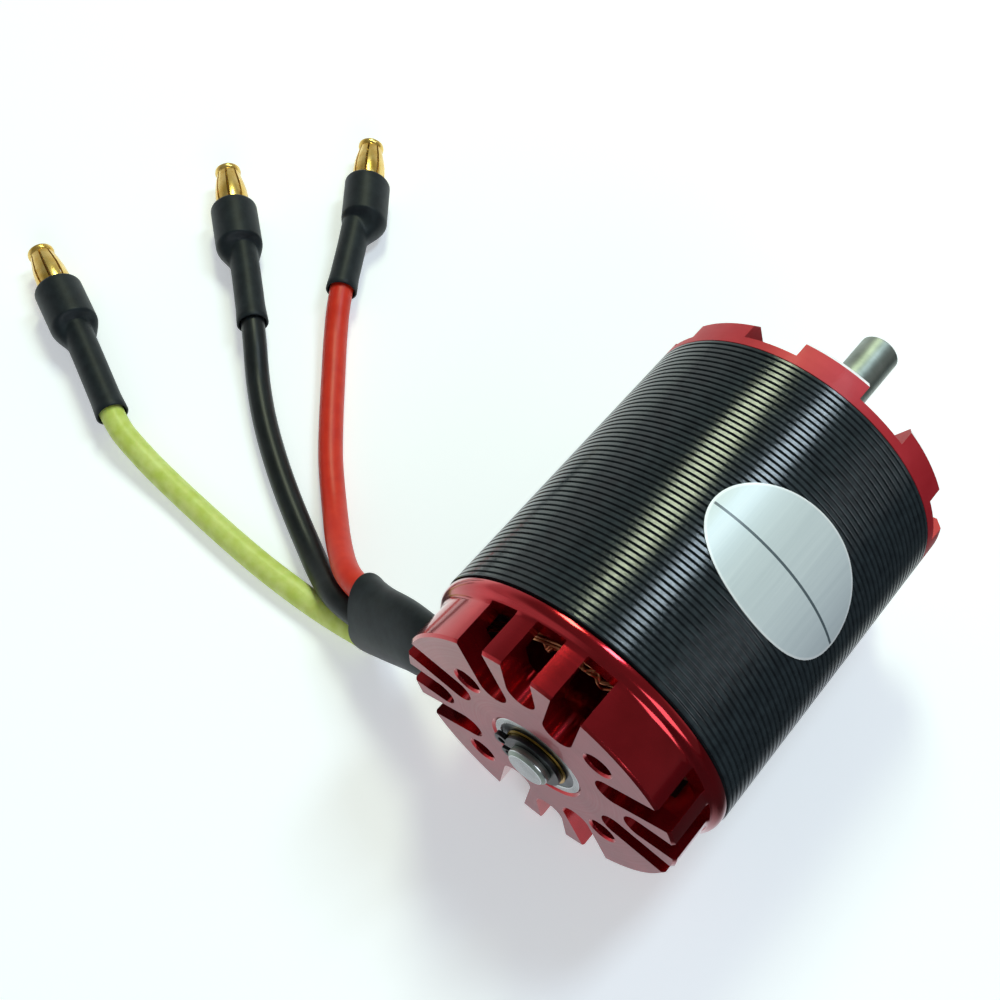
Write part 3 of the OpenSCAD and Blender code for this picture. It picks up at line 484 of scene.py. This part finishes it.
# Gold bullet: a lantern of bowed slats round a core, drawn in to a rounded head
bullet = {"slats": 8, "gapDeg": 9, "slatThickMm": 0.3, "slatSteps": 6, "steps": 40, "coreMm": 1.15,
          "cupMm": 2.75, "cupLenMm": 2.5, "startMm": 7.0, "headAtMm": 13.7,
          "slatMm": [(7.0, 2.0), (7.9, 2.22), (9.2, 2.3), (10.6, 2.22), (12.0, 2.0), (13.2, 1.75),
                     (13.9, 1.62)],
          "headMm": [(13.7, 1.2), (13.75, 1.6), (13.9, 1.76), (14.2, 1.84), (14.5, 1.8), (14.68, 1.62),
                     (14.77, 1.35), (14.8, 1.0), (14.74, 0.7), (14.7, 0)]}


def addTo(bm, part):  # moves one bmesh into another
    scratch = bpy.data.meshes.new("scratch")
    part.to_mesh(scratch)
    part.free()
    bm.from_mesh(scratch)
    bpy.data.meshes.remove(scratch)


def makeBullet(colour, lead):
    b = bullet
    bm = bmesh.new()
    for i in range(b["slats"]):
        part = bmesh.new()
        outer = [(s * mm, 0, r * mm) for s, r in b["slatMm"]]
        inner = [(s * mm, 0, (r - b["slatThickMm"]) * mm) for s, r in reversed(b["slatMm"])]
        drawProfile(part, outer + inner, closed=True)
        spinRound(part, b["slatSteps"], fullTurn / b["slats"] - math.radians(b["gapDeg"]))
        bmesh.ops.holes_fill(part, edges=[e for e in part.edges if e.is_boundary])
        bmesh.ops.recalc_face_normals(part, faces=part.faces)
        bmesh.ops.rotate(part, verts=part.verts, cent=(0, 0, 0),
                         matrix=Matrix.Rotation(i * fullTurn / b["slats"], 3, "X"))
        addTo(bm, part)
    part = bmesh.new()
    foot = b["startMm"] - b["cupLenMm"]
    cup = [(foot, 0), (foot, b["cupMm"]), (b["startMm"], b["cupMm"]), (b["startMm"], b["coreMm"]),
           (b["headAtMm"], b["coreMm"])]
    drawProfile(part, [(s * mm, 0, r * mm) for s, r in cup + b["headMm"]])
    spinRound(part, b["steps"])
    addTo(bm, part)
    for v in bm.verts:
        v.co.y += leanAside(lead, v.co.x / mm)
    bmesh.ops.transform(bm, matrix=lead["toPlug"], verts=bm.verts)
    return makePiece("plug_%s_bullet" % colour, bm, [goldPlate], "stator", ["plug_" + colour])


for colour, lead in leads.items():
    on = [makePlugSleeve(colour, lead), makeBullet(colour, lead)]
print("plugs and plug sleeves made")

# Common shrink sleeve, standing on edge round the stacked leads, creased along its foot and cut off slantwise
# over its last spans: stations give its middle, half width, height above and height below
windowDeg = -108
commonSleeve = {
    "sides": 64, "wallMm": 0.4, "perSpan": 6, "lean": (0.33, 0, 1), "crease": 2.0, "slant": 0.55,
    "slantSpans": 2,
    "stations": [
        (onCircle(3.8, 17.0, windowDeg), 2.1, 4.5, 3.7), (Vector((3.8, 18.9, -6.1)), 2.2, 4.5, 3.9),
        (Vector((4.1, 21.8, -7.6)), 2.3, 4.5, 4.2), (Vector((4.4, 25.0, -9.7)), 2.5, 4.4, 4.6),
        (Vector((4.6, 27.1, -11.1)), 2.6, 4.7, 5.0), (Vector((4.7, 28.1, -11.8)), 2.7, 5.1, 5.2)]}
sleeveRoute = smoothRoute([s[0] for s in commonSleeve["stations"]], commonSleeve["perSpan"])
sleeveSizes = smoothRoute([s[1:] for s in commonSleeve["stations"]], commonSleeve["perSpan"])
lastStep, slantSteps = len(sleeveRoute) - 1, commonSleeve["slantSpans"] * commonSleeve["perSpan"]
bm = bmesh.new()
loops = []
for i, (at, size) in enumerate(zip(sleeveRoute, sleeveSizes)):
    along = (sleeveRoute[min(i + 1, lastStep)] - sleeveRoute[max(i - 1, 0)]).normalized()
    side = along.cross(Vector(commonSleeve["lean"])).normalized()
    over = side.cross(along)
    slant = commonSleeve["slant"] * smoothStep(1 - (lastStep - i) / slantSteps)
    made = bmesh.ops.create_circle(bm, segments=commonSleeve["sides"], radius=1)
    for v in made["verts"]:
        wide, high = v.co.x, size.y * v.co.y
        if high < 0:
            wide, high = math.copysign(abs(wide) ** commonSleeve["crease"], wide), size.z * v.co.y
        v.co = (at + size.x * wide * side + high * over + slant * max(0, -high) * along) * mm
    loops.append([e for e in bm.edges if all(v in made["verts"] for v in e.verts)])
for a, b in zip(loops, loops[1:]):
    bmesh.ops.bridge_loops(bm, edges=a + b)
bmesh.ops.recalc_face_normals(bm, faces=bm.faces)
bmesh.ops.solidify(bm, geom=bm.faces[:], thickness=commonSleeve["wallMm"] * mm)
makePiece("lead_sleeve_shrink", bm, [shrink], "stator", ["lead_sleeve"], smoothDeg=50)
print("common sleeve made")

# Can: a wall with turned grooves; each has a round floor, steep sides and eased shoulders
finSet = {"grooves": 52, "endLand": 0.75, "wallMm": 1.9, "easeMm": 0.1, "steps": 144,
          "grooveMm": [(-0.16, 0), (-0.125, 0.025), (-0.055, 0.22), (0, 0.25), (0.055, 0.22), (0.125, 0.025),
                       (0.16, 0)]}
finPitch = (canHigh.x - canLow.x) / (finSet["grooves"] - 1 + 2 * finSet["endLand"])
ease, bore = finSet["easeMm"] * mm, canRadius - finSet["wallMm"] * mm
outline = [(canLow.x, bore), (canLow.x, canRadius - ease), (canLow.x + ease, canRadius)]
for i in range(finSet["grooves"]):
    x = canLow.x + (i + finSet["endLand"]) * finPitch
    outline += [(x + dx * mm, canRadius - depth * mm) for dx, depth in finSet["grooveMm"]]
outline += [(canHigh.x - ease, canRadius), (canHigh.x, canRadius - ease), (canHigh.x, bore)]
bm = bmesh.new()
drawProfile(bm, [(x, 0, r) for x, r in outline], closed=True)
spinRound(bm, finSet["steps"])
makePiece("can_finned", bm, [blackPaint], "rotor", ["can"], smoothDeg=25)
print("can turned")

# Oval foil wrapped on the fins, from a square grid drawn in to a disc
foilSet = {"arcMm": 20.8, "widthMm": 14.0, "thickMm": 0.12, "angleDeg": 34.4, "liftMm": 0.01, "cells": 40}
foilMiddle = (canLow.x + canHigh.x) / 2
bm = bmesh.new()
bmesh.ops.create_grid(bm, x_segments=foilSet["cells"], y_segments=foilSet["cells"], size=1)
disc = bm.loops.layers.uv.new("foilDisc")
for v in bm.verts:  # square to disc
    v.co.x, v.co.y = v.co.x * math.sqrt(1 - v.co.y ** 2 / 2), v.co.y * math.sqrt(1 - v.co.x ** 2 / 2)
for face in bm.faces:
    for loop in face.loops:
        loop[disc].uv = (0.5 + loop.vert.co.x / 2, 0.5 + loop.vert.co.y / 2)
for v in bm.verts:  # disc to oval, wrapped on the can
    turn = math.degrees(v.co.y * foilSet["arcMm"] * mm / 2 / canRadius)
    v.co = onCircle(foilMiddle + v.co.x * foilSet["widthMm"] * mm / 2, canRadius + foilSet["liftMm"] * mm,
                    foilSet["angleDeg"] + turn)
bmesh.ops.recalc_face_normals(bm, faces=bm.faces)
for face in bm.faces:
    if face.normal.dot(Vector((0, face.calc_center_median().y, face.calc_center_median().z))) < 0:
        face.normal_flip()
bmesh.ops.solidify(bm, geom=bm.faces[:], thickness=-foilSet["thickMm"] * mm)
makePiece("can_label_foil", bm, [foil], "rotor", ["can_label"], smoothDeg=60)
print("foil laid on the can")


# Copy of a CAD piece with its sharp edges eased; material slots are wall, eased edge, flat end and bright rim
# cut. How far a face looks along the shaft, from 0 to 1, tells a wall, a chamfer and an end apart
easing = {"sharpDeg": 30, "segments": 2, "mergeMm": 0.002, "flatDeg": 1, "chamferFrom": 0.3, "endFrom": 0.95,
          "endSlackMm": 0.01, "rimShare": 0.9}
wallSlot, edgeSlot, endSlot, rimSlot = range(4)


def easedCopy(nodeName, easeMm, rimCut):
    bm = bmesh.new()
    bm.from_mesh(nodes[nodeName].data)
    bmesh.ops.remove_doubles(bm, verts=bm.verts, dist=easing["mergeMm"] * mm)
    bmesh.ops.dissolve_limit(bm, angle_limit=math.radians(easing["flatDeg"]), verts=bm.verts, edges=bm.edges)
    low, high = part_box(nodeName)
    for face in bm.faces:
        middle = face.calc_center_median()
        onRim = math.hypot(middle.y, middle.z) > easing["rimShare"] * canRadius
        if rimCut and onRim and easing["chamferFrom"] < face.normal.x < easing["endFrom"]:
            face.material_index = rimSlot  # cut after the dye
    sharp = [e for e in bm.edges if e.is_manifold and e.calc_face_angle() > math.radians(easing["sharpDeg"])]
    eased = bmesh.ops.bevel(bm, geom=sharp, offset=easeMm * mm, offset_type="OFFSET", affect="EDGES",
                            segments=easing["segments"], profile=0.5, material=-1, clamp_overlap=True)
    for face in eased["faces"]:
        if face.material_index == wallSlot:
            face.material_index = edgeSlot
    for face in bm.faces:
        x = face.calc_center_median().x
        atEnd = min(x - low.x, high.x - x) < easing["endSlackMm"] * mm
        if face.material_index == wallSlot and atEnd and abs(face.normal.x) > easing["endFrom"]:
            face.material_index = endSlot
    return bm


easedPieces = {  # node: eased width in mm, bright rim cut, finishes, body, slot
    "rear_cap": (0.07, False, [red, redEdgePaintedHighlight, redFacePaintedReflection], "stator", "red_anodised"),
    "front_bell": (0.07, True, [redBell, redBell, redBell, cutAluminium], "rotor", "red_anodised"),
    # the shaft's flat ends are lighter than its wall: painted highlight
    "shaft": (0.06, False, [shaftSteel, raceSteel, paintedEndShadeAndLight], "rotor", "bright_steel"),
    "rear_circlip": (0.06, False, [clipSteel] * 3, "rotor", "black_oxide"),
    # the outer race's flat ends are darker than its wall: painted shade
    "rear_bearing_outer_race": (0.2, False, [raceSteel, raceSteel, paintedEndShadeAndLight], "stator", "bright_steel"),
    "rear_bearing_inner_race": (0.10, False, [raceSteel] * 3, "rotor", "bright_steel"),
    "bell_set_screws": (0.08, False, [screwSteel] * 3, "rotor", "black_oxide"),
}
for nodeName, (easeMm, rimCut, finishes, body, slotName) in easedPieces.items():
    bm = easedCopy(nodeName, easeMm, rimCut)
    makePiece(nodeName + "_eased", bm, finishes, body, [nodeName], smoothDeg=40, evenFaces=True)
print("edges eased on %d pieces" % len(easedPieces))

# Coils: one wire wound up, down and up again round each tooth
coilSet = {"teeth": 12, "wireMm": 0.56, "pitchMm": 0.6, "innerMm": 9.5, "toothHalfMm": 1.95, "endMm": 1.3,
           "layers": [(0, 6), (2, 4), (4, 2)], "sideNest": 0.8, "endNest": 0.7, "arcPoints": 5, "sides": 1}


def coilRoute(tooth):
    c = coilSet
    halfL = (coreHigh.x - coreLow.x) / 2 / mm
    turns = []
    for layer, (skip, count) in enumerate(c["layers"]):
        heights = [c["innerMm"] + (skip + i) * c["pitchMm"] for i in range(count)]
        turns += [(layer, h) for h in (heights if layer % 2 == 0 else reversed(heights))]
    route = []
    for layer, height in turns:
        halfW = c["toothHalfMm"] + layer * c["pitchMm"] * c["sideNest"]
        reach = c["endMm"] + layer * c["pitchMm"] * c["endNest"]
        for endSign, climb in ((1, 0), (-1, c["pitchMm"] / 2)):
            for i in range(c["arcPoints"] + 1):
                a = math.pi * i / c["arcPoints"]
                route.append(Vector((endSign * (halfL + reach * math.sin(a)), endSign * halfW * math.cos(a),
                                     height + climb * i / c["arcPoints"])))
    middle = (coreHigh.x + coreLow.x) / 2
    turn = Matrix.Translation((middle, 0, 0)) @ Matrix.Rotation(tooth * fullTurn / c["teeth"], 4, "X")
    return [turn @ (p * mm) for p in route]


for phase, teeth in {"u": (0, 1, 6, 7), "v": (2, 3, 8, 9), "w": (4, 5, 10, 11)}.items():
    makeWires("winding_%s_wire" % phase, [coilRoute(tooth) for tooth in teeth], coilSet["wireMm"] / 2 * mm,
              copperEnamel, "stator", ["winding_" + phase], coilSet["sides"])

# Tails: bundles of strands that run round inside the cap and out of its side window, with a few loose curls;
# turns give the first and last angle and the place in the row, curls the first and last angle and radius
tailSet = {
    "xStartMm": 10.5, "xMm": 5.0, "xOutMm": 4.4, "ringMm": 11.975, "pitchMm": 1.8, "outMm": 18.9,
    "gather": 0.6, "strands": 6, "strandMm": 0.32, "bundleMm": 0.38, "twistDeg": 290, "steps": 22,
    "dive": 1.3, "sides": 2,
    "turns": [(120, -101, 1), (-190, -115, 0), (-225, -108, -1)],
    "curls": [(-21, -13, 11.2, 12.8), (-20, -12, 11.8, 13.0), (-19, -14, 11.4, 12.4), (-4, 15, 12.9, 12.2),
              (-3, 13, 12.5, 12.6), (-2, 16, 12.2, 12.0), (-4, 8, 13.2, 12.4), (0, 12, 12.8, 13.0)],
    "curlXMm": 6.35, "swayXMm": 0.3, "swayOutMm": 0.25, "curlSteps": 8, "curlPerSpan": 4,
    "rootXMm": 7.2, "rootOutMm": (13.7, 13.4), "rootDeg": 8}
strandRoutes = []
t = tailSet
for startDeg, endDeg, row in t["turns"]:
    radius = t["ringMm"] + row * t["pitchMm"]
    for strand in range(t["strands"]):
        route = []
        for i in range(t["steps"] + 1):
            u = i / t["steps"]
            a = math.radians(strand * 360 / t["strands"] + u * t["twistDeg"])
            x = t["xStartMm"] + (t["xMm"] - t["xStartMm"]) * min(1, t["dive"] * u)
            route.append(onCircle(x + t["bundleMm"] * math.cos(a), radius + t["bundleMm"] * math.sin(a),
                                  startDeg + (endDeg - startDeg) * u) * mm)
        outDeg = windowDeg + t["gather"] * (endDeg - windowDeg)
        route.append(onCircle(t["xOutMm"] + t["bundleMm"] * math.cos(a), t["outMm"],
                              outDeg + math.degrees(t["bundleMm"] * math.sin(a) / t["outMm"])) * mm)
        strandRoutes.append(route)
for k, (startDeg, endDeg, startOut, endOut) in enumerate(t["curls"]):  # leaves the outer tail and comes back
    loose = [(t["rootXMm"], t["rootOutMm"][0], startDeg - t["rootDeg"])]
    for i in range(t["curlSteps"] + 1):
        u = i / t["curlSteps"]
        loose.append((t["curlXMm"] + t["swayXMm"] * math.cos(2 * k + 7 * u),
                      startOut + (endOut - startOut) * u + t["swayOutMm"] * math.sin(3 * k + 9 * u),
                      startDeg + (endDeg - startDeg) * u))
    loose.append((t["rootXMm"], t["rootOutMm"][1], endDeg + t["rootDeg"]))
    strandRoutes.append([onCircle(*p) * mm for p in smoothRoute(loose, t["curlPerSpan"])])
makeWires("winding_tails_strands", strandRoutes, tailSet["strandMm"] / 2 * mm, copperEnamel, "stator",
          ["winding_tails"], tailSet["sides"])
print("copper wound")

# Finishes of the CAD pieces that keep their own shape
keptFinishes = {
    "rotor_magnets": magnetNickel, "rear_shim": shimBrass, "front_spacer": shimBrass,
    "front_bearing_inner_race": raceSteel, "front_bearing_outer_race": raceSteel,
    "rear_bearing_balls": ballSteel, "front_bearing_balls": ballSteel,
    "rear_bearing_cage": cageBrass, "front_bearing_cage": cageBrass,
    "rear_bearing_shields": shieldSteel, "front_bearing_shields": shieldSteel,
    "bearing_tube": tubeMetal, "stator_core": laminations,
    "rear_insulator": endPaper, "front_insulator": endPaper,
}
for nodeName, finish in keptFinishes.items():
    for slot in nodes[nodeName].material_slots:
        slot.material = finish
print("CAD pieces finished")

# Studio: white paper floor that keeps the shadow, a pale wall on one side, two overhead softboxes and a weak
# fill; in reflections the paper is dark on the motor's -Y side
studio = {
    "floorM": 6.0, "floorColour": "#EEF2F5", "floorShade": "#23282B", "floorGlow": 0.42, "floorGlint": 0.5,
    "floorDropMm": 0.06, "shadeM": (-0.034, -0.016), "wall": 0.6, "ceiling": 0.14, "wallTop": (0.2, 0.6),
    "wallEdge": (-0.5, -0.15), "brightSide": (0.57, 0.82, 0), "lampFarM": 0.55}
lamps = {
    "warmBox": {"angleDeg": -27, "alongDeg": 28.2, "sizeM": (0.106, 0.19), "watts": 1.15, "tint": "#F2FFD8"},
    "coolBox": {"angleDeg": 7, "alongDeg": 28.2, "sizeM": (0.106, 0.17), "watts": 0.95, "tint": "#DDF1FF"},
    "fillBox": {"angleDeg": 60, "alongDeg": -35, "sizeM": (0.30, 0.30), "watts": 1.0, "tint": "#F2F8FF"},
}
bm = bmesh.new()
bmesh.ops.create_grid(bm, x_segments=1, y_segments=1, size=studio["floorM"] / 2)
bmesh.ops.translate(bm, verts=bm.verts, vec=(0, 0, floorZ - studio["floorDropMm"] * mm))
floorMesh = bpy.data.meshes.new("floorPaper")
bm.to_mesh(floorMesh)
bm.free()
floor = bpy.data.objects.new("floorPaper", floorMesh)
bpy.context.scene.collection.objects.link(floor)
paper, tree, shader, place = startMaterial("whitePaper", {"Roughness": 0.8, "Specular IOR Level": 0.2})
ray = addNode(tree, "ShaderNodeLightPath")
across = addNode(tree, "ShaderNodeSeparateXYZ", links={"Vector": place})
lit = addNode(tree, "ShaderNodeMapRange", {
    "interpolation_type": "SMOOTHSTEP", "From Min": studio["shadeM"][0], "From Max": studio["shadeM"][1]},
    {"Value": across.outputs["Y"]})
pale = addNode(tree, "ShaderNodeMath", {"operation": "MAXIMUM"},
               {0: ray.outputs["Is Camera Ray"], 1: lit.outputs["Result"]})
tone = mixColours(tree, pale.outputs["Value"], studio["floorShade"], studio["floorColour"])
for socket in ("Base Color", "Emission Color"):
    tree.links.new(tone, shader.inputs[socket])
seen = addNode(tree, "ShaderNodeMath", {"operation": "MULTIPLY", 1: studio["floorGlow"]},
               {0: ray.outputs["Is Camera Ray"]})
mirrored = addNode(tree, "ShaderNodeMath", {"operation": "MAXIMUM"},
                   {0: ray.outputs["Is Glossy Ray"], 1: ray.outputs["Is Transmission Ray"]})
glint = addNode(tree, "ShaderNodeMath", {"operation": "MULTIPLY", 1: studio["floorGlint"]},
                {0: mirrored.outputs["Value"]})
glow = addNode(tree, "ShaderNodeMath", {"operation": "MAXIMUM"},
               {0: seen.outputs["Value"], 1: glint.outputs["Value"]})
tree.links.new(glow.outputs["Value"], shader.inputs["Emission Strength"])
floorMesh.materials.append(paper)

world = bpy.data.worlds.new("studio")
bpy.context.scene.world = world
world.use_nodes = True
tree = world.node_tree
way = addNode(tree, "ShaderNodeTexCoord")
height = addNode(tree, "ShaderNodeSeparateXYZ", links={"Vector": way.outputs["Generated"]})
low = addNode(tree, "ShaderNodeMapRange", {
    "interpolation_type": "SMOOTHSTEP", "From Min": studio["wallTop"][0], "From Max": studio["wallTop"][1],
    "To Min": 1.0, "To Max": 0.0}, {"Value": height.outputs["Z"]})
toWall = addNode(tree, "ShaderNodeVectorMath", {"operation": "DOT_PRODUCT", 1: studio["brightSide"]},
                 {0: way.outputs["Generated"]})
near = addNode(tree, "ShaderNodeMapRange", {
    "interpolation_type": "SMOOTHSTEP", "From Min": studio["wallEdge"][0], "From Max": studio["wallEdge"][1]},
    {"Value": toWall.outputs["Value"]})
wall = addNode(tree, "ShaderNodeMath", {"operation": "MULTIPLY"},
               {0: low.outputs["Result"], 1: near.outputs["Result"]})
shine = addNode(tree, "ShaderNodeMapRange", {"To Min": studio["ceiling"], "To Max": studio["wall"]},
                {"Value": wall.outputs["Value"]})
ray = addNode(tree, "ShaderNodeLightPath")
backdrop = addNode(tree, "ShaderNodeMix", {"data_type": "FLOAT", "B": 1.0},
                   {"Factor": ray.outputs["Is Camera Ray"], "A": shine.outputs["Result"]})
tree.links.new(backdrop.outputs["Result"], tree.nodes["Background"].inputs["Strength"])
tree.nodes["Background"].inputs["Color"].default_value = (1, 1, 1, 1)
bpy.context.scene.view_settings.view_transform = "Standard"

aimAt = Vector((foilMiddle, 0, 0))
for name, lamp in lamps.items():
    data = bpy.data.lights.new(name, "AREA")
    data.shape = "RECTANGLE"
    data.size, data.size_y = lamp["sizeM"]
    data.energy = lamp["watts"]
    data.color = hexColour(lamp["tint"])[:3]
    lampObject = bpy.data.objects.new(name, data)
    lean, far = math.radians(lamp["alongDeg"]), studio["lampFarM"]
    lampObject.location = aimAt + onCircle(far * math.sin(lean), far * math.cos(lean), lamp["angleDeg"])
    lampObject.rotation_mode = "QUATERNION"
    lampObject.rotation_quaternion = (aimAt - lampObject.location).to_track_quat("-Z", "Y")
    bpy.context.scene.collection.objects.link(lampObject)
print("studio lit")
